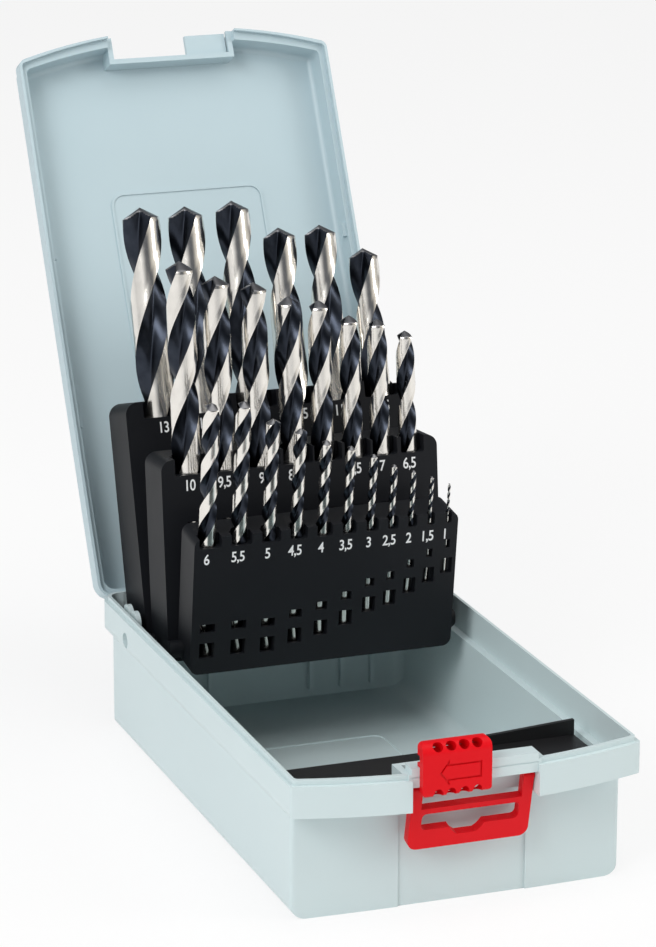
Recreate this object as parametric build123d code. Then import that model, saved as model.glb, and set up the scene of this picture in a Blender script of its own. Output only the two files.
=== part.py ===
"""Drill bit case: a hinged tray with three folding racks that hold twenty-five twist drills.

Frame: X to the right, Y to the back, Z up, origin on the ground under the middle of the tray.
Lengths are millimetres, angles are degrees. The case stands open, with its racks up.
"""

import os
from math import atan2, cos, degrees, radians, sin

from build123d import *

os.makedirs("parts", exist_ok=True)

# Tray: a deep body with a wider band round its top and a thin lip that the lid closes over.
TRAY_LENGTH = 195.0
FRONT = -TRAY_LENGTH / 2
BACK = TRAY_LENGTH / 2
BAND_HALF = 58.25
BAND_BOW = 9.3
BAND_BOTTOM = 37.0
BAND_TOP = 47.3
BAND_WALL = 2.25
BAND_SIDE_ROUND = 4.5
BODY_INSET = 3.05
BODY_HALF = BAND_HALF - BODY_INSET
BODY_SETBACK = 8.5
BODY_BOW = 1.4
BODY_EDGE = 5.0
WALL = 2.0
FLOOR = 2.0
LEDGE_Z = 38.3
LIP_THICKNESS = 1.0
LIP_TOP = 49.0
RIM_INNER_HALF = BAND_HALF - BAND_WALL
FRONT_CORNER = 1.5
BACK_CORNER = 5.0
INNER_CORNER = 4.0
SKY = 80.0
TROUGH_FIT = 0.01
AHEAD = FRONT - 20.0

# Recess in the tray's front, with the rail that the latch slides on.
RECESS_X = (-21.5, 20.5)
RECESS_Y = FRONT + 2.0
RECESS_WALL = 2.3
BODY_RECESS_X = (-20.2, 22.6)
BODY_RECESS_Y = FRONT + 7.9
RAIL_FRONT = FRONT - 7.0
RAIL_BACK = FRONT - 1.5
RAIL_BOTTOM = 44.7
RAIL_TOP = 51.0
RAIL_HOLD = 1.0
RAIL_GROOVE = 0.5
RAIL_GROOVE_Z = 48.0

# Raised lines and ribs inside the tray.
RIB_X = (-19.4, 18.5, 30.2, 41.6)
RIB_WIDTH = 1.8
RIB_DEPTH = 2.2
RIB_BOTTOM = 5.0
RIB_TOP = 36.5
PANEL_HALF = 28.3
PANEL_BACK = FRONT + 147.7
PANEL_FRONT = FRONT + 22.0
PANEL_LINE = 0.9
PANEL_HEIGHT = 0.4
PANEL_CORNER = 5.0

# Hinge between tray and lid.
HINGE_Y = BACK + 0.2
HINGE_Z = 46.8
LID_ANGLE = 117.34
BARREL_R = 2.7
BARREL_GAP = 0.3
BARREL_REACH = 5.0
PIN_R = 1.25
PIN_HALF = 46.0
PIN_FIT = 0.04
TRAY_KNUCKLES = ((-46.0, -34.0), (-12.0, 12.0), (34.0, 46.0))
LID_KNUCKLES = ((-33.7, -12.3), (12.3, 33.7))

# Lid, drawn closed and then turned open about the hinge.
LID_RIM_Z = 47.4
LID_BAND_TOP = 53.0
LID_TOP = 61.2
LID_ROOF = 1.8
LID_LIP_Z = 49.3
LID_LIP_INSET = 1.0
LID_BODY_HALF = BAND_HALF - 1.35
LID_INNER_HALF = LID_BODY_HALF - 1.5
LID_BOW = 8.65
LID_EDGE = 3.0
LID_CORNER = 3.0
LID_INNER_CORNER = 2.0
LID_NOTCH_HALF = 21.8
LID_NOTCH_Y = FRONT + 0.5
LID_NOTCH_WALL = 1.8
LID_NOTCH_Z = 51.2
LID_RELIEF = 3.0
LID_RELIEF_SIDE = 0.4
CATCH_X = (6.3, 21.4)
CATCH_Y = (FRONT - 6.9, LID_NOTCH_Y + 1.0)
CATCH_Z = (52.7, 54.6)
LID_LINE_FRONT = FRONT + 48.5
LID_LINE_BACK = FRONT + 143.5
LID_CLIPS = ((1, FRONT + 70.0), (-1, FRONT + 70.0), (-1, FRONT + 131.0))
CLIP_LENGTH = 5.0
CLIP_PROUD = 1.2
CLIP_SUNK = 0.5
CLIP_Z = (50.8, 53.3)

# Latch slider: a plate in front of the rail, a lip on it, a foot under it and a leg behind it.
SLIDER_X = (-19.0, 3.7)
SLIDER_FRONT = FRONT - 10.0
SLIDER_BOTTOM = 42.0
SLIDER_TOP = 59.0
SLIDER_FIT = 0.15
SLIDER_CORNER = 1.6
SLIDER_TOP_ROUND = 3.6
SLIDER_BOTTOM_ROUND = 1.2
PLATE_BACK = RAIL_FRONT - SLIDER_FIT
HEAD_BACK = FRONT - 5.2
LIP_BAR_TOP = 52.4
HEAD_BOTTOM = 54.9
FOOT_X = (-14.0, -1.5)
FOOT_Z = (42.6, RAIL_BOTTOM - SLIDER_FIT)
LEG_Y = (RAIL_BACK + SLIDER_FIT, RAIL_BACK + SLIDER_FIT + 1.2)
LEG_TOP = 47.5
GRIP_X = (-13.8, -9.5, -5.2, -0.9)
GRIP_R = 1.7
GRIP_LENGTH = 9.0
GRIP_SETBACK = 0.5
ARROW_DEPTH = 0.5
ARROW_LINE = 0.6
ARROW_TIP = -13.5
ARROW_HEAD = -10.3
ARROW_TAIL = 0.4
ARROW_Z = 49.5
ARROW_HEAD_HALF = 4.2
ARROW_SHAFT_HALF = 2.65

# Hanging bail under the rail, leaning back from its pivot towards the tray's wall.
BAIL_Y = FRONT - 3.0
BAIL_LEAN = 13.0
BAIL_THICKNESS = 3.2
BAIL_HALF = 20.1
BAIL_ARM = 3.4
BAIL_TOP = 35.8
BAIL_BOTTOM = 21.1
BAIL_CORNER = 3.2
BAIL_SLOT_HALF = 16.2
BAIL_SLOT_Z = (28.0, 33.9)
BAIL_SLOT_CORNER = 1.6
BAIL_NOTCH_X = -0.8
BAIL_NOTCH_R = 6.4
BAIL_NOTCH_BOTTOM = 24.3
BAIL_PIVOT_Z = 42.6
BAIL_PIN_R = 1.3
BAIL_PIN_HOLD = 1.2
BAIL_PIN_GAP = 0.2
PIVOT_FIT = 0.05

# Front shelf: a thin plate that sits behind the front wall, with a rear flange and a bump.
SHELF_X = (-52.8, 49.4)
SHELF_FRONT = FRONT + 1.5
SHELF_BACK = FRONT + 33.0
SHELF_Z = (38.4, 39.8)
SHELF_NOTCH_HALF = 24.0
SHELF_NOTCH_Y = FRONT + 4.4
FLANGE_LEFT = 12.0
FLANGE_THICKNESS = 1.5
FLANGE_TOP = (42.6, 44.9)
BUMP_X = (-6.0, 14.0)
BUMP_Y = (FRONT + 9.0, FRONT + 19.0)
BUMP_TOP = 48.6
BUMP_PEAK = 7.5
BUMP_SIDE = 42.0

# Pivot cheeks: one on each side wall, carrying the trunnions of the back and middle racks.
CHEEK_X = (RIM_INNER_HALF - 2.7, RIM_INNER_HALF - 1.0)
CHEEK_FOOT = RIM_INNER_HALF - 0.1
CHEEK_Y = (FRONT + 160.5, FRONT + 180.5)
CHEEK_LOBES = (FRONT + 167.5, FRONT + 175.3)
CHEEK_LOBE_R = 3.7
CHEEK_TOP = 50.3
CHEEK_FOOT_TOP = 46.0
OUTER_HOLE_R = 2.75
FRONT_BORE_END = BODY_HALF - 1.0

# Racks, each drawn upright: X across, Y from the front face backwards (s), Z up the front face (t).
# tilt: lean back from upright; foot: where the front face meets the ground plane, from the front;
# pivot: (s, t) of the trunnion axis; stud: (s, t) of the stud that carries a link on the rack's side;
# window: depth of a window's lower edge under the notches; heel: chamfer on the lower back edge.
RACKS = {
    "rack_back": {
        "tilt": 16.14, "foot": 154.3, "thickness": 20.5, "half": 50.6, "bottom": 34.8, "top": 123.0,
        "notch": 117.15, "wall": 1.2, "edge": 4.5, "heel": 2.4, "window": 44.0,
        "pivot": (7.0, 48.25), "trunnion": 2.0, "trunnion_end": 54.9,
    },
    "rack_middle": {
        "tilt": 5.67, "foot": 141.4, "thickness": 18.0, "half": 49.6, "bottom": 38.8, "top": 108.0,
        "notch": 102.3, "wall": 1.2, "edge": 4.0, "heel": 1.0, "window": 25.0,
        "pivot": (21.5, 42.63), "trunnion": 1.6, "trunnion_end": 55.6, "stud": (16.2, 43.6),
    },
    "rack_front": {
        "tilt": -7.38, "foot": 136.0, "thickness": 13.5, "half": 46.9, "bottom": 38.5, "top": 88.5,
        "notch": 84.65, "wall": 1.0, "edge": 3.0, "heel": 1.0, "window": None,
        "pivot": (28.5, 28.07), "trunnion": 1.75, "trunnion_end": 54.0, "stud": (10.0, 44.0),
    },
}
LINK_X = {"rack_middle": (51.6, 53.0), "rack_front": (49.85, 51.35)}
STUD_R = {"rack_middle": 1.7, "rack_front": 3.0}
LINK_BOSS_R = 3.2
BORE_FIT = 0.15
NOTCH_SCALE = 1.15
NOTCH_EXTRA = 0.9
NOTCH_CORNER = 0.8
REAR_WINDOW_HEIGHT = 9.0

# Drills: size, rack, place across the rack, overall length, height of the tip above the notch,
# and, in the front rack, the depth of the lower window's bottom under the notch.
DRILLS = (
    (13.0, "rack_back", -36.3, 151.0, 72.45, None),
    (12.5, "rack_back", -20.3, 151.0, 71.65, None),
    (12.0, "rack_back", -3.2, 151.0, 72.35, None),
    (11.5, "rack_back", 12.9, 142.0, 61.75, None),
    (11.0, "rack_back", 28.0, 142.0, 61.55, None),
    (10.5, "rack_back", 43.2, 133.0, 52.15, None),
    (10.0, "rack_middle", -38.5, 133.0, 71.6, None),
    (9.5, "rack_middle", -26.2, 125.0, 65.6, None),
    (9.0, "rack_middle", -12.9, 125.0, 62.5, None),
    (8.5, "rack_middle", -0.9, 117.0, 56.7, None),
    (8.0, "rack_middle", 10.0, 117.0, 54.5, None),
    (7.5, "rack_middle", 20.7, 109.0, 48.5, None),
    (7.0, "rack_middle", 30.6, 109.0, 46.5, None),
    (6.5, "rack_middle", 40.6, 101.0, 41.6, None),
    (6.0, "rack_front", -41.3, 93.0, 50.55, 40.2),
    (5.5, "rack_front", -30.3, 93.0, 50.25, 40.0),
    (5.0, "rack_front", -19.9, 86.0, 43.05, 40.4),
    (4.5, "rack_front", -10.2, 80.0, 38.75, 38.3),
    (4.0, "rack_front", -1.0, 75.0, 33.75, 36.5),
    (3.5, "rack_front", 7.8, 70.0, 30.85, 33.8),
    (3.0, "rack_front", 16.0, 61.0, 27.15, 29.8),
    (2.5, "rack_front", 23.4, 57.0, 22.75, 28.2),
    (2.0, "rack_front", 30.4, 49.0, 19.95, 24.5),
    (1.5, "rack_front", 37.1, 40.0, 17.05, 21.3),
    (1.0, "rack_front", 43.5, 34.0, 13.95, 18.5),
)
POINT_SLOPE = 0.6
POINT_FLAT = 0.02

# Windows in the front rack.
LOWER_WINDOW_HEIGHT = 5.5
LOWER_WINDOW_WIDTH = 3.9
LOWER_WINDOW_GROWTH = 0.25
WIDEST_AT = 5.6
UPPER_WINDOW_RISE = 9.4
UPPER_WINDOW_HEIGHT = 3.0
UPPER_WINDOW_WIDTH = 1.0
UPPER_WINDOW_GROWTH = 0.78


def block(x0, x1, y0, y1, z0, z1):
    """Box between two corners."""
    size = Box(x1 - x0, y1 - y0, z1 - z0)
    return Pos((x0 + x1) / 2, (y0 + y1) / 2, (z0 + z1) / 2) * size


def rod(x0, x1, y, z, radius):
    """Cylinder along X."""
    return Pos((x0 + x1) / 2, y, z) * Rot(0, 90, 0) * Cylinder(radius, x1 - x0)


def plan(half, front, bow, back, front_radius, back_radius):
    """Outline seen from above: straight sides and back, and a front that bows outwards."""
    straight = Polyline((half, front), (half, back), (-half, back), (-half, front))
    bowed = ThreePointArc((-half, front), (0, front - bow), (half, front))
    face = make_face(Curve() + [straight, bowed])
    face = fillet(face.vertices().sort_by(Axis.Y)[:2], front_radius)
    return fillet(face.vertices().sort_by(Axis.Y)[-2:], back_radius)


def slab(face, z0, z1):
    """Upright solid on an outline seen from above."""
    return Pos(0, 0, z0) * extrude(face, amount=z1 - z0, dir=(0, 0, 1))


def trough(half, bottom, radius):
    """Long block whose two lower edges are rounded."""
    profile = Pos(0, (bottom + SKY) / 2) * Rectangle(2 * (half + TROUGH_FIT), SKY - bottom)
    profile = fillet(profile.vertices().sort_by(Axis.Y)[:2], radius)
    return extrude(Plane.XZ * profile, amount=TRAY_LENGTH, both=True)


def frame_line(half, y0, y1, z0, height):
    """Raised line round a rounded rectangle on a flat floor."""
    middle = Pos(0, (y0 + y1) / 2)
    length = y1 - y0
    outer = middle * RectangleRounded(2 * half + PANEL_LINE, length + PANEL_LINE, PANEL_CORNER)
    inner_corner = PANEL_CORNER - PANEL_LINE
    inner = middle * RectangleRounded(2 * half - PANEL_LINE, length - PANEL_LINE, inner_corner)
    return slab(outer - inner, z0, z0 + height)


def mirrored(side, near, far):
    """The two X limits of something on one side, in rising order."""
    return sorted((side * near, side * far))


def rim_plan(half, inset, bow, front_radius, back_radius):
    """Outline parallel to the band's, moved inwards."""
    own_bow = bow * (half / BAND_HALF) ** 2
    return plan(half, FRONT + inset, own_bow, BACK - inset, front_radius, back_radius)


def tray_hull():
    """Outer shape of the tray, not yet hollow."""
    body_front = FRONT + BODY_SETBACK
    body_plan = plan(BODY_HALF, body_front, BODY_BOW, BACK, FRONT_CORNER, BACK_CORNER)
    body = slab(body_plan, 0, BAND_TOP) & trough(BODY_HALF, 0, BODY_EDGE)
    band_start = BAND_BOTTOM - BAND_SIDE_ROUND / 2
    band_plan = rim_plan(BAND_HALF, 0, BAND_BOW, FRONT_CORNER, BACK_CORNER)
    band = slab(band_plan, band_start, BAND_TOP) & trough(BAND_HALF, band_start, BAND_SIDE_ROUND)
    band -= block(-BAND_HALF - 1, BAND_HALF + 1, AHEAD, body_front, 0, BAND_BOTTOM)
    lip_half = RIM_INNER_HALF + LIP_THICKNESS
    lip_plan = rim_plan(lip_half, BAND_HALF - lip_half, BAND_BOW, FRONT_CORNER, INNER_CORNER)
    return body + band + slab(lip_plan, BAND_TOP, LIP_TOP)


def tray_cavity():
    """Space inside the tray: the deep well and the wider rim above the ledge."""
    half = BODY_HALF - WALL
    well_front = FRONT + BODY_SETBACK + WALL
    well_plan = plan(half, well_front, BODY_BOW, BACK - WALL, FRONT_CORNER, INNER_CORNER)
    well = slab(well_plan, FLOOR, SKY) & trough(half, FLOOR, BODY_EDGE)
    rim = rim_plan(RIM_INNER_HALF, BAND_WALL, BAND_BOW, FRONT_CORNER, INNER_CORNER)
    return well + slab(rim, LEDGE_Z, SKY)


def tray_front(hull):
    """Walls round the front recess, filled into the outer shape, and the space cut from them."""
    left, right = RECESS_X
    outer_left, outer_right = left - RECESS_WALL, right + RECESS_WALL
    walls = hull & block(outer_left, outer_right, AHEAD, RECESS_Y + WALL, LEDGE_Z - 1, LIP_TOP)
    low = block(*BODY_RECESS_X, AHEAD, BODY_RECESS_Y, -1, BAND_BOTTOM)
    high = block(left, right, AHEAD, RECESS_Y, BAND_BOTTOM - 1, SKY)
    return walls, low + high


def rail():
    """Bridge across the recess, with a groove along its front."""
    left, right = RECESS_X
    bar = block(left - RAIL_HOLD, right + RAIL_HOLD, RAIL_FRONT, RAIL_BACK, RAIL_BOTTOM, LIP_TOP)
    bar += block(left, right, RAIL_FRONT, RAIL_BACK, RAIL_BOTTOM, RAIL_TOP)
    groove_low = RAIL_GROOVE_Z - RAIL_GROOVE / 2
    groove_back = RAIL_FRONT + RAIL_GROOVE / 2
    return bar - block(left, right, AHEAD, groove_back, groove_low, groove_low + RAIL_GROOVE)


def pivot_point(name):
    """Trunnion axis of a rack with the case standing open: (y, z)."""
    rack = RACKS[name]
    s, t = rack["pivot"]
    lean = radians(rack["tilt"])
    y = FRONT + rack["foot"] + t * sin(lean) + s * cos(lean)
    return y, t * cos(lean) - s * sin(lean)


def make_tray():
    hull = tray_hull()
    walls, recess = tray_front(hull)
    tray = hull - tray_cavity() + walls - recess + rail()
    rib_back = BACK - WALL
    for x in RIB_X:
        rib_x = (x - RIB_WIDTH / 2, x + RIB_WIDTH / 2)
        tray += block(*rib_x, rib_back - RIB_DEPTH, rib_back, RIB_BOTTOM, RIB_TOP)
    tray += frame_line(PANEL_HALF, PANEL_FRONT, PANEL_BACK, FLOOR, PANEL_HEIGHT)
    for x0, x1 in TRAY_KNUCKLES:
        tray += rod(x0, x1, HINGE_Y, HINGE_Z, BARREL_R)
    gap_y = (BACK - BARREL_REACH, BACK + BARREL_REACH)
    for x0, x1 in LID_KNUCKLES:
        tray -= block(x0 - BARREL_GAP, x1 + BARREL_GAP, *gap_y, HINGE_Z - BARREL_R - BARREL_GAP, SKY)
    tray -= rod(-PIN_HALF, PIN_HALF, HINGE_Y, HINGE_Z, PIN_R)
    for side in (-1, 1):
        y, z = pivot_point("rack_middle")
        tray -= rod(*mirrored(side, RIM_INNER_HALF, BAND_HALF + 1), y, z, OUTER_HOLE_R)
        y, z = pivot_point("rack_front")
        bore_r = RACKS["rack_front"]["trunnion"] + PIVOT_FIT
        tray -= rod(*mirrored(side, BODY_HALF - WALL - 1, FRONT_BORE_END), y, z, bore_r)
    for side, edge in zip((-1, 1), RECESS_X):
        hole_end = edge + side * (BAIL_PIN_HOLD + BAIL_PIN_GAP)
        hole = sorted((edge - side, hole_end))
        tray -= rod(*hole, BAIL_Y, BAIL_PIVOT_Z, BAIL_PIN_R + PIVOT_FIT)
    return tray


def lid_shell():
    """Closed lid without its notch, hinge and small parts, and the same shape left solid."""
    body_inset = BAND_HALF - LID_BODY_HALF
    band_plan = rim_plan(BAND_HALF, 0, LID_BOW, LID_CORNER, BACK_CORNER)
    top_plan = rim_plan(LID_BODY_HALF, body_inset, LID_BOW, LID_CORNER, BACK_CORNER)
    top = slab(top_plan, LID_RIM_Z, LID_TOP)
    outer = slab(band_plan, LID_RIM_Z, LID_BAND_TOP) + fillet(top.edges().group_by(Axis.Z)[-1], LID_EDGE)
    inner_inset = BAND_HALF - LID_INNER_HALF
    hollow_plan = rim_plan(LID_INNER_HALF, inner_inset, LID_BOW, LID_INNER_CORNER, INNER_CORNER)
    hollow = slab(hollow_plan, LID_RIM_Z - 1, LID_TOP - LID_ROOF)
    hollow = fillet(hollow.edges().group_by(Axis.Z)[-1], LID_EDGE - 1)
    lip_half = BAND_HALF - LID_LIP_INSET
    lip_plan = rim_plan(lip_half, LID_LIP_INSET, BAND_BOW, FRONT_CORNER, INNER_CORNER)
    return outer, outer - hollow - slab(lip_plan, LID_RIM_Z - 1, LID_LIP_Z)


def make_lid():
    outer, lid = lid_shell()
    wall_back = LID_NOTCH_Y + LID_NOTCH_WALL
    notch_outer = LID_NOTCH_HALF + LID_NOTCH_WALL
    lid += outer & block(-notch_outer, notch_outer, AHEAD, wall_back, LID_RIM_Z, SKY)
    lid -= block(-LID_NOTCH_HALF, LID_NOTCH_HALF, AHEAD, LID_NOTCH_Y, 0, SKY)
    relief = notch_outer + LID_RELIEF_SIDE
    lid -= block(-relief, relief, AHEAD, wall_back + LID_RELIEF, 0, LID_NOTCH_Z)
    lid += block(*CATCH_X, *CATCH_Y, *CATCH_Z)
    ceiling = LID_TOP - LID_ROOF
    lid += frame_line(PANEL_HALF, LID_LINE_FRONT, LID_LINE_BACK, ceiling - PANEL_HEIGHT, PANEL_HEIGHT)
    for side, y in LID_CLIPS:
        clip_x = mirrored(side, LID_INNER_HALF - CLIP_PROUD, LID_INNER_HALF + CLIP_SUNK)
        lid += block(*clip_x, y - CLIP_LENGTH / 2, y + CLIP_LENGTH / 2, *CLIP_Z)
    reach = BARREL_R + BARREL_GAP
    gap_y = (HINGE_Y - reach, BACK + BARREL_REACH)
    for x0, x1 in TRAY_KNUCKLES:
        lid -= block(x0 - BARREL_GAP, x1 + BARREL_GAP, *gap_y, 0, HINGE_Z + reach)
    for x0, x1 in LID_KNUCKLES:
        lid += rod(x0, x1, HINGE_Y, HINGE_Z, BARREL_R)
    lid -= rod(-PIN_HALF, PIN_HALF, HINGE_Y, HINGE_Z, PIN_R + PIN_FIT)
    hinge = Axis((0, HINGE_Y, HINGE_Z), (-1, 0, 0))
    return lid.rotate(hinge, LID_ANGLE)


def make_hinge_pin():
    return rod(-PIN_HALF, PIN_HALF, HINGE_Y, HINGE_Z, PIN_R)


def arrow():
    """Outline of an arrow that points to the left, on the slider's front."""
    head = (ARROW_Z - ARROW_HEAD_HALF, ARROW_Z + ARROW_HEAD_HALF)
    shaft = (ARROW_Z - ARROW_SHAFT_HALF, ARROW_Z + ARROW_SHAFT_HALF)
    points = [
        (ARROW_TIP, ARROW_Z), (ARROW_HEAD, head[1]), (ARROW_HEAD, shaft[1]), (ARROW_TAIL, shaft[1]),
        (ARROW_TAIL, shaft[0]), (ARROW_HEAD, shaft[0]), (ARROW_HEAD, head[0]),
    ]
    return make_face(Polyline(*points, close=True))


def make_latch_slider():
    x0, x1 = SLIDER_X
    middle = ((x0 + x1) / 2, (SLIDER_BOTTOM + SLIDER_TOP) / 2)
    outline = Pos(*middle) * RectangleRounded(x1 - x0, SLIDER_TOP - SLIDER_BOTTOM, SLIDER_CORNER)
    body = Pos(0, SLIDER_FRONT, 0) * extrude(Plane.XZ * outline, HEAD_BACK - SLIDER_FRONT, dir=(0, 1, 0))
    body -= block(x0 - 1, x1 + 1, PLATE_BACK, HEAD_BACK + 1, SLIDER_BOTTOM - 1, RAIL_TOP + SLIDER_FIT)
    body -= block(x0 - 1, x1 + 1, PLATE_BACK, HEAD_BACK + 1, LIP_BAR_TOP, HEAD_BOTTOM)
    profile = Rectangle(BACK - SLIDER_FRONT, SLIDER_TOP - SLIDER_BOTTOM)
    profile = Pos((SLIDER_FRONT + BACK) / 2, middle[1]) * profile
    front = profile.vertices().sort_by(Axis.X)[:2].sort_by(Axis.Y)
    profile = fillet(front[1], SLIDER_TOP_ROUND)
    front = profile.vertices().sort_by(Axis.X)[:2].sort_by(Axis.Y)
    profile = fillet(front[0], SLIDER_BOTTOM_ROUND)
    body &= extrude(Plane.YZ * profile, TRAY_LENGTH, both=True)
    foot_y = (PLATE_BACK - 1, LEG_Y[1])
    body += block(*FOOT_X, *foot_y, *FOOT_Z)
    body += block(*FOOT_X, *LEG_Y, FOOT_Z[0], LEG_TOP)
    for x in GRIP_X:
        groove = Rot(45, 0, 0) * Cylinder(GRIP_R, GRIP_LENGTH)
        body -= Pos(x, SLIDER_FRONT + GRIP_SETBACK, SLIDER_TOP - GRIP_SETBACK) * groove
        body -= Pos(x, SLIDER_FRONT - GRIP_SETBACK, SLIDER_BOTTOM - GRIP_SETBACK) * Rot(90, 0, 0) * groove
    mark = extrude(Plane.XZ * arrow(), ARROW_DEPTH, both=True)
    inside = offset(arrow(), -ARROW_LINE, kind=Kind.INTERSECTION)
    mark -= extrude(Plane.XZ * inside, 2 * ARROW_DEPTH, both=True)
    return body - Pos(0, SLIDER_FRONT, 0) * mark


def make_hanger_bail():
    height = BAIL_TOP - BAIL_BOTTOM
    plate = Pos(0, (BAIL_TOP + BAIL_BOTTOM) / 2) * RectangleRounded(2 * BAIL_HALF, height, BAIL_CORNER)
    slot_low, slot_high = BAIL_SLOT_Z
    slot_size = (2 * BAIL_SLOT_HALF, slot_high - slot_low)
    slot = Pos(0, (slot_low + slot_high) / 2) * RectangleRounded(*slot_size, BAIL_SLOT_CORNER)
    notch = Pos(BAIL_NOTCH_X, BAIL_NOTCH_BOTTOM + BAIL_NOTCH_R) * Circle(BAIL_NOTCH_R)
    slot += notch & Pos(0, slot_low) * Rectangle(2 * BAIL_SLOT_HALF, slot_size[1])
    profile = plate - slot
    arm_low = BAIL_TOP - BAIL_CORNER
    for side in (-1, 1):
        middle = side * (BAIL_HALF - BAIL_ARM / 2)
        arm = Rectangle(BAIL_ARM, BAIL_PIVOT_Z - arm_low)
        profile += Pos(middle, (arm_low + BAIL_PIVOT_Z) / 2) * arm
    bail = Pos(0, BAIL_Y, 0) * extrude(Plane.XZ * profile, BAIL_THICKNESS / 2, both=True)
    for side, edge in zip((-1, 1), RECESS_X):
        arm_x = mirrored(side, BAIL_HALF - BAIL_ARM, BAIL_HALF)
        bail += rod(*arm_x, BAIL_Y, BAIL_PIVOT_Z, BAIL_THICKNESS / 2)
        pin_x = sorted((side * (BAIL_HALF - 1), edge + side * BAIL_PIN_HOLD))
        bail += rod(*pin_x, BAIL_Y, BAIL_PIVOT_Z, BAIL_PIN_R)
    return bail.rotate(Axis((0, BAIL_Y, BAIL_PIVOT_Z), (1, 0, 0)), BAIL_LEAN)


def make_front_shelf():
    x0, x1 = SHELF_X
    plate = block(x0, x1, SHELF_FRONT, SHELF_BACK, *SHELF_Z)
    plate -= block(-SHELF_NOTCH_HALF, SHELF_NOTCH_HALF, AHEAD, SHELF_NOTCH_Y, 0, SKY)
    low, high = FLANGE_TOP
    flange = [(FLANGE_LEFT, SHELF_Z[0]), (x1, SHELF_Z[0]), (x1, high), (FLANGE_LEFT, low)]
    flange = extrude(Plane.XZ * make_face(Polyline(*flange, close=True)), FLANGE_THICKNESS, dir=(0, -1, 0))
    plate += Pos(0, SHELF_BACK, 0) * flange
    left, right = BUMP_X
    low = SHELF_Z[0]
    bump = [(left, low), (right, low), (right, BUMP_SIDE), (BUMP_PEAK, BUMP_TOP), (left, BUMP_SIDE)]
    bump = make_face(Polyline(*bump, close=True))
    bump = extrude(Plane.XZ * bump, BUMP_Y[1] - BUMP_Y[0], dir=(0, 1, 0))
    return plate + Pos(0, BUMP_Y[0], 0) * bump


def make_cheek(side):
    cheek_x = mirrored(side, *CHEEK_X)
    lobe_z = CHEEK_TOP - CHEEK_LOBE_R
    cheek = block(*cheek_x, *CHEEK_Y, LEDGE_Z, CHEEK_FOOT_TOP)
    for y in CHEEK_LOBES:
        cheek += block(*cheek_x, y - CHEEK_LOBE_R, y + CHEEK_LOBE_R, LEDGE_Z, lobe_z)
        cheek += rod(*cheek_x, y, lobe_z, CHEEK_LOBE_R)
    cheek += block(*mirrored(side, CHEEK_X[0], CHEEK_FOOT), *CHEEK_Y, LEDGE_Z, CHEEK_FOOT_TOP)
    for name in ("rack_back", "rack_middle"):
        y, z = pivot_point(name)
        bore_x = mirrored(side, CHEEK_X[0] - 1, CHEEK_FOOT + 1)
        cheek -= rod(*bore_x, y, z, RACKS[name]["trunnion"] + PIVOT_FIT)
    return cheek


def cut_for_drill(drill, rack):
    """Bore, mouth and windows of one drill, to be cut from a rack drawn upright."""
    size, _, x, length, stand, window = drill
    depth = size / 2 + rack["wall"]
    seat = rack["notch"] + stand - length
    bore_top = rack["top"] + 1
    bore = Pos(x, depth, (seat + bore_top) / 2) * Cylinder(size / 2 + BORE_FIT, bore_top - seat)
    width = NOTCH_SCALE * size + NOTCH_EXTRA
    height = 2 * (rack["top"] - rack["notch"])
    mouth = Pos(x, rack["notch"] + height / 2) * Rectangle(width, height)
    mouth = fillet(mouth.vertices().sort_by(Axis.Y)[:2], NOTCH_CORNER)
    cut = bore + Pos(0, depth, 0) * extrude(Plane.XZ * mouth, depth + 1, dir=(0, -1, 0))
    if window is None:
        low = rack["notch"] - rack["window"]
        return cut + block(x - size / 4, x + size / 4, -1, depth, low, low + REAR_WINDOW_HEIGHT)
    low = rack["notch"] - window
    widest = min(size, WIDEST_AT)
    lower_half = (LOWER_WINDOW_WIDTH + LOWER_WINDOW_GROWTH * widest) / 2
    upper_half = (UPPER_WINDOW_WIDTH + UPPER_WINDOW_GROWTH * widest) / 2
    cut += block(x - lower_half, x + lower_half, -1, depth, low, low + LOWER_WINDOW_HEIGHT)
    low += UPPER_WINDOW_RISE
    return cut + block(x - upper_half, x + upper_half, -1, depth, low, low + UPPER_WINDOW_HEIGHT)


def make_link(name, side):
    """Flat link from a rack's stud to its pivot behind it, with the trunnion it turns on."""
    rack = RACKS[name]
    link_x = mirrored(side, *LINK_X[name])
    root, pivot = rack["stud"], rack["pivot"]
    radius = STUD_R[name]
    run, rise = pivot[0] - root[0], pivot[1] - root[1]
    bar = Box(link_x[1] - link_x[0], (run**2 + rise**2) ** 0.5, 2 * radius)
    middle = (sum(link_x) / 2, (root[0] + pivot[0]) / 2, (root[1] + pivot[1]) / 2)
    link = rod(*link_x, *root, radius) + rod(*link_x, *pivot, LINK_BOSS_R)
    link += Pos(*middle) * Rot(degrees(atan2(rise, run)), 0, 0) * bar
    link += rod(*mirrored(side, LINK_X[name][0], rack["trunnion_end"]), *pivot, rack["trunnion"])
    return standing(link, rack)


def make_stud(name, side):
    """Stud that spaces a link from the rack's side."""
    rack = RACKS[name]
    stud = rod(*mirrored(side, rack["half"], LINK_X[name][0]), *rack["stud"], STUD_R[name])
    return standing(stud, rack)


def make_pivot(name, side):
    """Pivot pin on the side of a rack that turns without links."""
    rack = RACKS[name]
    pin = rod(*mirrored(side, rack["half"], rack["trunnion_end"]), *rack["pivot"], rack["trunnion"])
    return standing(pin, rack)


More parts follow.
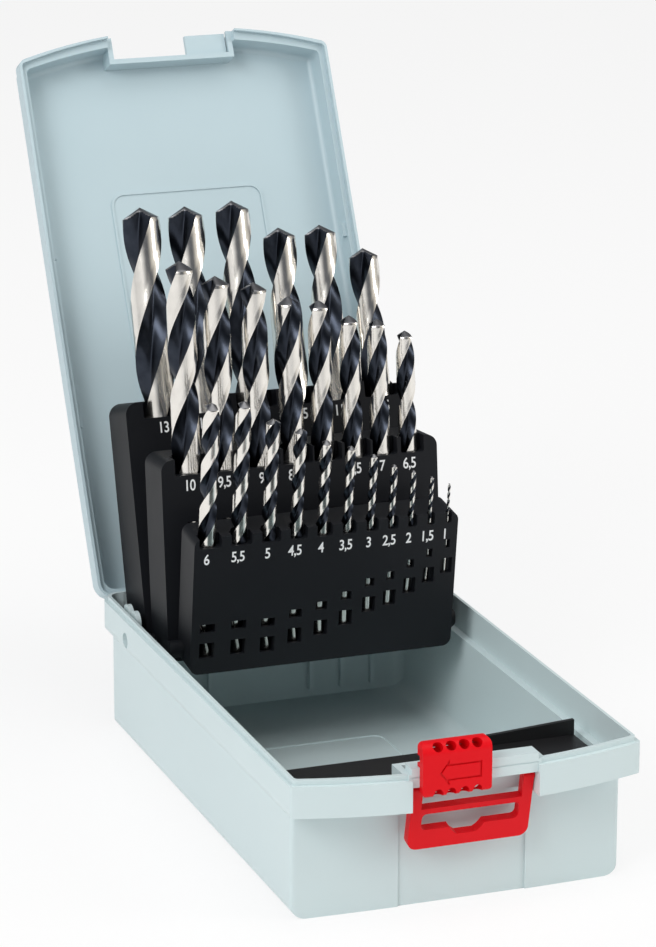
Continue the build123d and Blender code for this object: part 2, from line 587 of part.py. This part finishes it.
def make_rack(name):
    rack = RACKS[name]
    half, edge, depth = rack["half"], rack["edge"], rack["thickness"]
    front = Pos(0, (rack["bottom"] + rack["top"]) / 2) * Rectangle(2 * half, rack["top"] - rack["bottom"])
    front = fillet(front.vertices(), edge)
    shape = extrude(Plane.XZ * front, depth, dir=(0, 1, 0))
    side_view = Pos(depth, (rack["bottom"] + rack["top"]) / 2)
    side_view *= Rectangle(2 * depth, rack["top"] - rack["bottom"])
    side_view = fillet(side_view.vertices().sort_by(Axis.X)[:2].sort_by(Axis.Y)[-1:], edge)
    side_view -= Pos(depth, rack["bottom"]) * Rot(0, 0, 45) * Rectangle(*[rack["heel"] * 2**0.5] * 2)
    side_view &= Pos(depth / 2, rack["top"] / 2) * Rectangle(depth, 2 * rack["top"])
    shape &= extrude(Plane.YZ * side_view, 2 * half, both=True)
    for drill in DRILLS:
        if drill[1] == name:
            shape -= cut_for_drill(drill, rack)
    return standing(shape, rack)


def standing(shape, rack):
    """Shape drawn in a rack's own frame, moved to where the rack stands in the open case."""
    return Pos(0, FRONT + rack["foot"], 0) * Rot(-rack["tilt"], 0, 0) * shape


def make_drill(size, rack_name, x, length, stand):
    """Round blank of a drill, shank down, with a conical point."""
    rack = RACKS[rack_name]
    radius = size / 2
    tip = radius * POINT_SLOPE
    seat = rack["notch"] + stand - length
    shank = Pos(0, 0, (length - tip) / 2) * Cylinder(radius, length - tip)
    point = Pos(0, 0, length - tip / 2) * Cone(radius, POINT_FLAT * size, tip)
    blank = Pos(x, radius + rack["wall"], seat) * (shank + point)
    return standing(blank, rack)


def drill_node(size):
    """Node name of a drill, such as drill_4_5."""
    return f"drill_{size:.1f}".replace(".", "_")


def write(shape, name):
    """One STEP file for one node."""
    export_step(shape, f"parts/{name}.step")


def main():
    write(make_tray(), "tray")
    write(make_lid(), "lid")
    write(make_hinge_pin(), "hinge_pin")
    write(make_latch_slider(), "latch_slider")
    write(make_hanger_bail(), "hanger_bail")
    write(make_front_shelf(), "front_shelf")
    write(make_cheek(-1), "pivot_cheek_left")
    write(make_cheek(1), "pivot_cheek_right")
    for name in RACKS:
        write(make_rack(name), name)
        for side, word in ((-1, "left"), (1, "right")):
            if name in LINK_X:
                write(make_link(name, side), f"{name}_link_{word}")
                write(make_stud(name, side), f"{name}_stud_{word}")
            else:
                write(make_pivot(name, side), f"{name}_pivot_{word}")
    for size, rack_name, x, length, stand, _ in DRILLS:
        write(make_drill(size, rack_name, x, length, stand), drill_node(size))


main()
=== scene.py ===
"""Looks of the drill bit case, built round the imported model. Lengths are metres, angles degrees."""

import math

import bmesh
import bpy
from mathutils import Matrix, Vector


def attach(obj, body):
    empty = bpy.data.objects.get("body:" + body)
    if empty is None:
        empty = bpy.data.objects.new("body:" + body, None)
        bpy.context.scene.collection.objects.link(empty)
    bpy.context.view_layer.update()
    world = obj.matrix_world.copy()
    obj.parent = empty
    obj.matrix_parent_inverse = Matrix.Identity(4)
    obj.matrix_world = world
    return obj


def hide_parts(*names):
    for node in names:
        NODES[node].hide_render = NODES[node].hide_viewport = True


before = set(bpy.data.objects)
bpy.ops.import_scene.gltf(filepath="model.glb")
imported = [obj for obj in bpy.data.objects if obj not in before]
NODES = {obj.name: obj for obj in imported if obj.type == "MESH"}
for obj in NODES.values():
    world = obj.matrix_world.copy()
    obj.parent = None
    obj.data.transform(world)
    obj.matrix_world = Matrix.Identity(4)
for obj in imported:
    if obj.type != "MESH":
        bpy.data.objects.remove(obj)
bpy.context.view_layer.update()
MM = 0.001

# Front of the tray (y), in millimetres, from which the racks' feet are measured.
TRAY_FRONT = -97.5

# Racks as the model has them: lean, foot of the front face on the ground behind TRAY_FRONT, height of the
# mouths up the face, depth of the wall in front of a bore, height of the printed sizes.
RACKS = {
    "rack_back": {"tilt": 16.14, "foot": 154.3, "notch": 117.15, "wall": 1.2, "label": 113.45},
    "rack_middle": {"tilt": 5.67, "foot": 141.4, "notch": 102.3, "wall": 1.2, "label": 98.65},
    "rack_front": {"tilt": -7.38, "foot": 136.0, "notch": 84.65, "wall": 1.0, "label": 80.55},
}

# Drills: size, rack, place across the rack, length, height of the tip above the mouth, flute length (all in
# millimetres), and how far the flute at the point is turned to the right of the camera.
DRILLS = (
    (13.0, "rack_back", -36.3, 151, 72.45, 101, 2),
    (12.5, "rack_back", -20.3, 151, 71.65, 101, 5),
    (12.0, "rack_back", -3.2, 151, 72.35, 101, 0),
    (11.5, "rack_back", 12.9, 142, 61.75, 94, 0),
    (11.0, "rack_back", 28.0, 142, 61.55, 94, -5),
    (10.5, "rack_back", 43.2, 133, 52.15, 87, 5),
    (10.0, "rack_middle", -38.5, 133, 71.6, 87, -42),
    (9.5, "rack_middle", -26.2, 125, 65.6, 81, -30),
    (9.0, "rack_middle", -12.9, 125, 62.5, 81, -31),
    (8.5, "rack_middle", -0.9, 117, 56.7, 75, -95),
    (8.0, "rack_middle", 10.0, 117, 54.5, 75, -60),
    (7.5, "rack_middle", 20.7, 109, 48.5, 69, -60),
    (7.0, "rack_middle", 30.6, 109, 46.5, 69, -60),
    (6.5, "rack_middle", 40.6, 101, 41.6, 63, -60),
    (6.0, "rack_front", -41.3, 93, 50.55, 57, -60),
    (5.5, "rack_front", -30.3, 93, 50.25, 57, -60),
    (5.0, "rack_front", -19.9, 86, 43.05, 52, -120),
    (4.5, "rack_front", -10.2, 80, 38.75, 47, -100),
    (4.0, "rack_front", -1.0, 75, 33.75, 43, -60),
    (3.5, "rack_front", 7.8, 70, 30.85, 39, -60),
    (3.0, "rack_front", 16.0, 61, 27.15, 33, -60),
    (2.5, "rack_front", 23.4, 57, 22.75, 30, -60),
    (2.0, "rack_front", 30.4, 49, 19.95, 24, -60),
    (1.5, "rack_front", 37.1, 40, 17.05, 18, -60),
    (1.0, "rack_front", 43.5, 34, 13.95, 12, -60),
)

# Camera fitted to the photograph.
CAMERA_YAW = 20.32
CAMERA_ELEVATION = 16.53
CAMERA_ROLL = 0.12
CAMERA_PLACE = Vector((-434.3, -1145.2, 476.9)) * MM
CAMERA_LENS = 215.5
CAMERA_SENSOR = 36.0
CAMERA_REACH = 20


# Materials

# Noise scales, and the strength and distance of the bump, of moulded plastic and of ground steel.
PLASTIC_SHEEN_SCALE = 60.0
PLASTIC_GRAIN_SCALE = 2600.0
PLASTIC_GRAIN_DEPTH = 0.00004
STEEL_DRIFT_SCALE = 250.0
STEEL_SHEEN_SCALE = 500.0
STEEL_SCRATCH_STRENGTH = 0.05
STEEL_SCRATCH_DEPTH = 0.00002
GRAIN_DETAIL = 4.0


def material(name, roughness, metallic=0.0):
    """New node material, and its nodes, links and shader."""
    mat = bpy.data.materials.new(name)
    mat.use_nodes = True
    nodes, links = mat.node_tree.nodes, mat.node_tree.links
    shader = nodes["Principled BSDF"]
    shader.inputs["Roughness"].default_value = roughness
    shader.inputs["Metallic"].default_value = metallic
    return mat, nodes, links, shader


def noise(nodes, links, scale, detail=3.0):
    """Noise texture in object coordinates."""
    place = nodes.new("ShaderNodeTexCoord")
    texture = nodes.new("ShaderNodeTexNoise")
    texture.inputs["Scale"].default_value = scale
    texture.inputs["Detail"].default_value = detail
    links.new(place.outputs["Object"], texture.inputs["Vector"])
    return texture


def colour_ramp(nodes, links, source, stops):
    """Colour ramp driven by a value; stops are (position, (r, g, b))."""
    ramp = nodes.new("ShaderNodeValToRGB")
    elements = ramp.color_ramp.elements
    while len(elements) < len(stops):
        elements.new(0.5)
    for element, (position, colour) in zip(elements, stops):
        element.position = position
        element.color = (*colour, 1.0)
    links.new(source, ramp.inputs["Fac"])
    return ramp.outputs["Color"]


def grain(nodes, links, shader, scale, strength, distance):
    """Fine bump from noise."""
    texture = noise(nodes, links, scale, GRAIN_DETAIL)
    bump = nodes.new("ShaderNodeBump")
    bump.inputs["Strength"].default_value = strength
    bump.inputs["Distance"].default_value = distance
    links.new(texture.outputs["Fac"], bump.inputs["Height"])
    links.new(bump.outputs["Normal"], shader.inputs["Normal"])


def uneven_roughness(nodes, links, shader, scale, low, high):
    """Roughness that varies a little over the surface."""
    texture = noise(nodes, links, scale)
    spread = nodes.new("ShaderNodeMapRange")
    spread.inputs["To Min"].default_value = low
    spread.inputs["To Max"].default_value = high
    links.new(texture.outputs["Fac"], spread.inputs["Value"])
    links.new(spread.outputs["Result"], shader.inputs["Roughness"])


def moulded(name, dark, light, roughness, specular=0.5, patch=9.0, bump=0.12):
    """Moulded plastic: faint colour drift, fine spark-eroded grain."""
    mat, nodes, links, shader = material(name, roughness[0])
    drift = noise(nodes, links, patch)
    colour = colour_ramp(nodes, links, drift.outputs["Fac"], ((0.3, dark), (0.7, light)))
    links.new(colour, shader.inputs["Base Color"])
    shader.inputs["Specular IOR Level"].default_value = specular
    uneven_roughness(nodes, links, shader, PLASTIC_SHEEN_SCALE, *roughness)
    grain(nodes, links, shader, PLASTIC_GRAIN_SCALE, bump, PLASTIC_GRAIN_DEPTH)
    return mat


def ground_steel(name, dark, light, roughness, scratch_scale):
    """Ground steel with faint colour drift and fine grain."""
    mat, nodes, links, shader = material(name, roughness[0], 1.0)
    drift = noise(nodes, links, STEEL_DRIFT_SCALE)
    colour = colour_ramp(nodes, links, drift.outputs["Fac"], ((0.25, dark), (0.75, light)))
    links.new(colour, shader.inputs["Base Color"])
    uneven_roughness(nodes, links, shader, STEEL_SHEEN_SCALE, *roughness)
    grain(nodes, links, shader, scratch_scale, STEEL_SCRATCH_STRENGTH, STEEL_SCRATCH_DEPTH)
    return mat


def make_materials():
    """All finishes, by the keys that the rest of the script uses."""
    case = (0.590, 0.695, 0.710), (0.625, 0.730, 0.742)
    lid = (0.470, 0.590, 0.635), (0.505, 0.625, 0.668)
    rack = (0.005, 0.006, 0.008), (0.008, 0.009, 0.012)
    # The shelf's near-black is painted shade: it stands in for the dark shadow in the cavity under the front
    # rail.
    shelf = (0.006, 0.006, 0.007), (0.009, 0.009, 0.010)
    red = (0.70, 0.001, 0.006), (0.76, 0.002, 0.009)
    number = (0.80, 0.82, 0.83), (0.88, 0.89, 0.90)
    pin = (0.52, 0.52, 0.53), (0.62, 0.62, 0.63)
    land = (0.80, 0.77, 0.72), (0.90, 0.87, 0.82)
    flute = (0.026, 0.031, 0.042), (0.045, 0.052, 0.068)
    point = (0.16, 0.16, 0.165), (0.24, 0.24, 0.25)
    return {
        "case": moulded("case_grey", *case, (0.34, 0.42), 0.45),
        "lid": moulded("lid_grey", *lid, (0.34, 0.42), 0.45),
        "rack": moulded("rack_black", *rack, (0.46, 0.56), 0.22),
        # Painted shade: near-black shelf in place of the shadow under the front rail.
        "shelf": moulded("shelf_painted_shade", *shelf, (0.38, 0.48), 0.4),
        "red": moulded("latch_red", *red, (0.36, 0.44), 0.18),
        "number": moulded("number_white", *number, (0.5, 0.6), 0.3),
        "pin": ground_steel("pin_steel", *pin, (0.25, 0.35), 3000.0),
        "land": ground_steel("drill_land", *land, (0.16, 0.24), 4000.0),
        "flute": ground_steel("drill_flute", *flute, (0.26, 0.34), 4000.0),
        "point": ground_steel("drill_point", *point, (0.34, 0.44), 4000.0),
    }


MATERIALS = make_materials()
NODE_MATERIAL = {
    "tray": "case", "pivot_cheek_left": "case", "pivot_cheek_right": "case", "lid": "lid",
    "hinge_pin": "pin", "front_shelf": "shelf", "latch_slider": "red", "hanger_bail": "red",
    "rack_back": "rack", "rack_middle": "rack", "rack_front": "rack",
}
RACK_HARDWARE = (
    "rack_back_pivot", "rack_middle_link", "rack_middle_stud", "rack_front_link", "rack_front_stud",
)
for hardware in RACK_HARDWARE:
    NODE_MATERIAL[hardware + "_left"] = "rack"
    NODE_MATERIAL[hardware + "_right"] = "rack"


def dress_nodes():
    """Finishes of the CAD nodes, other than the drills."""
    for name, key in NODE_MATERIAL.items():
        obj = NODES[name]
        obj.data.materials.clear()
        obj.data.materials.append(MATERIALS[key])


# Drills

def node_name(size):
    """CAD node of a drill."""
    return f"drill_{size:.1f}".replace(".", "_")


def rack_frame(rack):
    """Matrix from a rack's own frame (x, s back, t up), in metres, to the model's."""
    lift = Matrix.Translation((0, (TRAY_FRONT + rack["foot"]) * MM, 0))
    return lift @ Matrix.Rotation(math.radians(-rack["tilt"]), 4, "X")


# Section of a drill: points round it, angle of a land and of the margin along its edge, radius of the rest
# of the land and of the core as a share of the drill's, and how steeply a flute's side falls away.
SECTION_POINTS = 48
LAND_SPAN = 78.0
MARGIN_SPAN = 9.0
CLEARANCE = 0.97
CORE = 0.30
FLUTE_POWER = 0.75

# Length of a drill: height of the cone per radius, where its rows lie, rows of the flutes per turn and at
# least, length over which the flutes run out per diameter, and pitch per diameter from each size up.
POINT_SLOPE = 0.6
POINT_ROWS = (0.12, 0.25, 0.4, 0.55, 0.7, 0.83, 0.93, 0.985)
ROWS_PER_TURN = 60
FEWEST_ROWS = 8
RUNOUT = 1.2
PITCHES = ((10.5, 7.0), (6.5, 6.4), (0.0, 5.3))

# Slack in comparing heights, in millimetres, and how much a face of the cone narrows at least, in metres.
HEIGHT_SLACK = 1e-6
LEAST_DRAW = 1e-7

# Material slots of a drill's mesh, in this order.
DRILL_FINISHES = ("land", "flute", "point")
LAND, FLUTE, POINT = range(3)


def pitch_of(size):
    """Length in which a flute goes once round, in millimetres."""
    return next(pitch for least, pitch in PITCHES if size >= least) * size


def section(size, fade):
    """Cross-section of a drill: (angle, radius, is land), with flutes as deep as fade, from 0 to 1."""
    radius = size / 2
    points = []
    half = SECTION_POINTS // 2
    land_count = round(half * LAND_SPAN / 180)
    for turn in (0, 180):
        for n in range(half):
            if n < land_count:
                angle = LAND_SPAN * n / (land_count - 1) - LAND_SPAN / 2
                margin = angle > LAND_SPAN / 2 - MARGIN_SPAN
                r = radius if margin else radius * (1 - (1 - CLEARANCE) * fade)
                points.append((angle + turn, r, True))
            else:
                u = (n - land_count + 1) / (half - land_count + 1)
                angle = LAND_SPAN / 2 + u * (180 - LAND_SPAN)
                depth = math.sin(math.pi * u) ** FLUTE_POWER
                r = radius * (1 - (1 - CORE) * depth * fade)
                points.append((angle + turn, r, False))
    return points


def drill_rows(size, length, flute):
    """Heights of the mesh rows of a drill, in millimetres."""
    tip = size / 2 * POINT_SLOPE
    step = pitch_of(size) / ROWS_PER_TURN
    start = length - flute
    rows = [0.0, start * 0.5, start]
    count = max(FEWEST_ROWS, math.ceil((flute - tip) / step))
    rows += [start + (flute - tip) * (n + 1) / count for n in range(count)]
    rows += [length - tip + tip * f for f in POINT_ROWS]
    return rows


def make_drill(size, rack_name, x, length, stand, flute, turned):
    """Two-flute twist drill that stands for its CAD blank."""
    rack = RACKS[rack_name]
    tip = size / 2 * POINT_SLOPE
    runout = size * RUNOUT
    rows = drill_rows(size, length, flute)
    start = length - flute
    mesh = bmesh.new()
    rings = []
    kinds = [land for _, _, land in section(size, 1.0)]
    for z in rows:
        fade = min(1.0, max(0.0, (z - start) / runout))
        limit = (length - z) / POINT_SLOPE if z > length - tip else size
        spin = turned - CAMERA_YAW + 360 * (z - length) / pitch_of(size)
        ring = []
        for angle, r, _ in section(size, fade):
            a = math.radians(angle + spin)
            r = min(r, limit)
            ring.append(mesh.verts.new((r * math.cos(a) * MM, r * math.sin(a) * MM, z * MM)))
        rings.append(ring)
    apex = mesh.verts.new((0, 0, length * MM))
    count = len(rings[0])
    for z, low, high in zip(rows, rings, rings[1:]):
        for n in range(count):
            m = (n + 1) % count
            is_land = kinds[n] and kinds[m]
            face = mesh.faces.new((low[n], low[m], high[m], high[n]))
            face.smooth = True
            face.material_index = face_kind(is_land, z, start, length - tip, low[n], high[n])
    for n in range(count):
        face = mesh.faces.new((rings[-1][n], rings[-1][(n + 1) % count], apex))
        face.material_index = POINT
    mesh.faces.new(list(reversed(rings[0])))
    sharpen(mesh, rings, kinds)
    data = bpy.data.meshes.new(f"twist_{node_name(size)}")
    mesh.to_mesh(data)
    mesh.free()
    for key in DRILL_FINISHES:
        data.materials.append(MATERIALS[key])
    obj = bpy.data.objects.new(f"twist_{node_name(size)}", data)
    bpy.context.scene.collection.objects.link(obj)
    place = Vector((x, size / 2 + rack["wall"], rack["notch"] + stand - length)) * MM
    obj.matrix_world = rack_frame(rack) @ Matrix.Translation(place)
    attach(obj, node_name(size))
    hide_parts(node_name(size))


def face_kind(is_land, z, start, cone, low, high):
    """Material slot of a face that starts at z: shank and lands, flutes, or the cone that is ground."""
    if z >= cone - HEIGHT_SLACK:
        drawn_in = low.co.xy.length - high.co.xy.length > LEAST_DRAW
        return POINT if drawn_in else FLUTE
    if z < start:
        return LAND
    return LAND if is_land else FLUTE


def sharpen(mesh, rings, kinds):
    """Sharp edges along the borders between lands and flutes."""
    mesh.edges.ensure_lookup_table()
    count = len(kinds)
    for low, high in zip(rings, rings[1:]):
        for n in range(count):
            if kinds[n] and (not kinds[n - 1] or not kinds[(n + 1) % count]):
                edge = mesh.edges.get((low[n], high[n]))
                if edge:
                    edge.smooth = False


# Numbers

# Height, narrowing, thickness and shift to the left of a printed size, thickening of its strokes in metres,
# and spacing of its characters.
LABEL_SIZE = 5.3
LABEL_SQUEEZE = 0.80
LABEL_PROUD = 0.06
LABEL_SHIFT = -1.2
LABEL_STROKE = 0.00006
LABEL_SPACING = 0.95


def label_text(size):
    """Size with a decimal comma."""
    return f"{size:g}".replace(".", ",")


def make_label(size, rack_name, x):
    """Printed size under a drill's mouth."""
    rack = RACKS[rack_name]
    curve = bpy.data.curves.new(f"size_{node_name(size)}", "FONT")
    curve.body = label_text(size)
    curve.size = LABEL_SIZE * MM
    curve.align_x = "CENTER"
    curve.align_y = "CENTER"
    curve.extrude = LABEL_PROUD / 2 * MM
    curve.offset = LABEL_STROKE
    curve.space_character = LABEL_SPACING
    curve.materials.append(MATERIALS["number"])
    text = bpy.data.objects.new(curve.name, curve)
    bpy.context.scene.collection.objects.link(text)
    place = Vector((x + LABEL_SHIFT, -LABEL_PROUD / 2, rack["label"])) * MM
    upright = Matrix.Rotation(math.radians(90), 4, "X") @ Matrix.Diagonal((LABEL_SQUEEZE, 1, 1, 1))
    text.matrix_world = rack_frame(rack) @ Matrix.Translation(place) @ upright
    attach(text, rack_name)


# Stage

# Floor: half its side in metres, its colour, and the share of plain white in what the camera sees of it.
FLOOR_HALF = 6
FLOOR_COLOUR = (0.93, 0.93, 0.93, 1)
FLOOR_WHITE = 0.80


def whiten_floor(nodes, links, shader):
    """Part of plain white in what the camera, metal and glass see of the floor; the rest takes the shadow."""
    rays = nodes.new("ShaderNodeLightPath")
    seen = rays.outputs["Is Camera Ray"]
    for other in ("Is Glossy Ray", "Is Transmission Ray"):
        either = nodes.new("ShaderNodeMath")
        either.operation = "MAXIMUM"
        links.new(seen, either.inputs[0])
        links.new(rays.outputs[other], either.inputs[1])
        seen = either.outputs[0]
    share = nodes.new("ShaderNodeMath")
    share.operation = "MULTIPLY"
    share.inputs[1].default_value = FLOOR_WHITE
    links.new(seen, share.inputs[0])
    white = nodes.new("ShaderNodeEmission")
    white.inputs["Strength"].default_value = 1.0
    mix = nodes.new("ShaderNodeMixShader")
    links.new(share.outputs[0], mix.inputs[0])
    links.new(shader.outputs[0], mix.inputs[1])
    links.new(white.outputs[0], mix.inputs[2])
    links.new(mix.outputs[0], nodes["Material Output"].inputs["Surface"])


def make_stage():
    """Pale floor under the case."""
    mesh = bmesh.new()
    signs = ((-1, -1), (1, -1), (1, 1), (-1, 1))
    mesh.faces.new([mesh.verts.new((x * FLOOR_HALF, y * FLOOR_HALF, 0)) for x, y in signs])
    data = bpy.data.meshes.new("floor")
    mesh.to_mesh(data)
    mesh.free()
    mat, nodes, links, shader = material("floor_white", 0.7)
    shader.inputs["Base Color"].default_value = FLOOR_COLOUR
    shader.inputs["Specular IOR Level"].default_value = 0.2
    whiten_floor(nodes, links, shader)
    data.materials.append(mat)
    floor = bpy.data.objects.new("floor", data)
    bpy.context.scene.collection.objects.link(floor)


def area_light(name, place, target, width, height, power):
    """Soft light at a place, turned to a target."""
    data = bpy.data.lights.new(name, "AREA")
    data.shape = "RECTANGLE"
    data.size = width
    data.size_y = height
    data.energy = power
    light = bpy.data.objects.new(name, data)
    light.location = place
    light.rotation_euler = (Vector(target) - Vector(place)).to_track_quat("-Z", "Y").to_euler()
    bpy.context.scene.collection.objects.link(light)


# Soft lights: name, place, target, width, height (metres) and power (watts).
LIGHTS = (
    ("key", (-1.4, -0.9, 1.3), (0, 0, 0.08), 0.9, 0.9, 17),
    ("top", (0.2, -0.2, 1.8), (0, 0, 0.05), 1.2, 1.2, 9),
    ("right", (1.5, -0.9, 0.9), (0, 0, 0.1), 0.5, 1.2, 9),
)

# Brightness of the studio by the angle to the right of the camera, as (share of the circle, colour).
STUDIO = (
    (0.00, (0.30, 0.31, 0.33)), (0.20, (0.50, 0.52, 0.54)), (0.33, (1.00, 1.00, 1.00)),
    (0.46, (1.00, 1.00, 1.00)), (0.53, (0.16, 0.17, 0.19)), (0.59, (0.14, 0.15, 0.17)),
    (0.65, (0.92, 0.88, 0.80)), (0.78, (0.85, 0.82, 0.76)), (0.87, (0.20, 0.20, 0.22)),
    (1.00, (0.30, 0.31, 0.33)),
)
STUDIO_STRENGTH = 0.75


def make_studio():
    """World whose brightness changes round the object, as a room with panels and dark gaps does."""
    world = bpy.data.worlds.new("studio")
    bpy.context.scene.world = world
    world.use_nodes = True
    nodes, links = world.node_tree.nodes, world.node_tree.links
    place = nodes.new("ShaderNodeTexCoord")
    turn = nodes.new("ShaderNodeVectorRotate")
    turn.rotation_type = "Z_AXIS"
    turn.inputs["Angle"].default_value = -math.atan2(CAMERA_PLACE.y, CAMERA_PLACE.x)
    axes = nodes.new("ShaderNodeSeparateXYZ")
    angle = nodes.new("ShaderNodeMath")
    angle.operation = "ARCTAN2"
    share = nodes.new("ShaderNodeMapRange")
    share.inputs["From Min"].default_value = -math.pi
    share.inputs["From Max"].default_value = math.pi
    links.new(place.outputs["Generated"], turn.inputs["Vector"])
    links.new(turn.outputs["Vector"], axes.inputs["Vector"])
    links.new(axes.outputs["Y"], angle.inputs[0])
    links.new(axes.outputs["X"], angle.inputs[1])
    links.new(angle.outputs[0], share.inputs["Value"])
    background = nodes["Background"]
    background.inputs["Strength"].default_value = STUDIO_STRENGTH
    links.new(colour_ramp(nodes, links, share.outputs["Result"], STUDIO), background.inputs["Color"])


def make_lights():
    """Studio world and its lamps."""
    make_studio()
    for light in LIGHTS:
        area_light(*light)


def make_camera():
    """Camera at the photograph's viewing angle."""
    data = bpy.data.cameras.new("camera")
    data.sensor_fit = "HORIZONTAL"
    data.sensor_width = CAMERA_SENSOR
    data.lens = CAMERA_LENS
    data.clip_end = CAMERA_REACH
    camera = bpy.data.objects.new("camera", data)
    bpy.context.scene.collection.objects.link(camera)
    turn = Matrix.Rotation(math.radians(-CAMERA_YAW), 4, "Z")
    turn @= Matrix.Rotation(math.radians(90 - CAMERA_ELEVATION), 4, "X")
    turn @= Matrix.Rotation(math.radians(CAMERA_ROLL), 4, "Z")
    camera.matrix_world = Matrix.Translation(CAMERA_PLACE) @ turn
    bpy.context.scene.camera = camera


def main():
    """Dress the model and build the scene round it."""
    dress_nodes()
    for size, rack_name, x, length, stand, flute, turned in DRILLS:
        make_drill(size, rack_name, x, length, stand, flute, turned)
        make_label(size, rack_name, x)
    make_stage()
    make_lights()
    make_camera()
    bpy.context.scene.view_settings.view_transform = "Standard"


main()
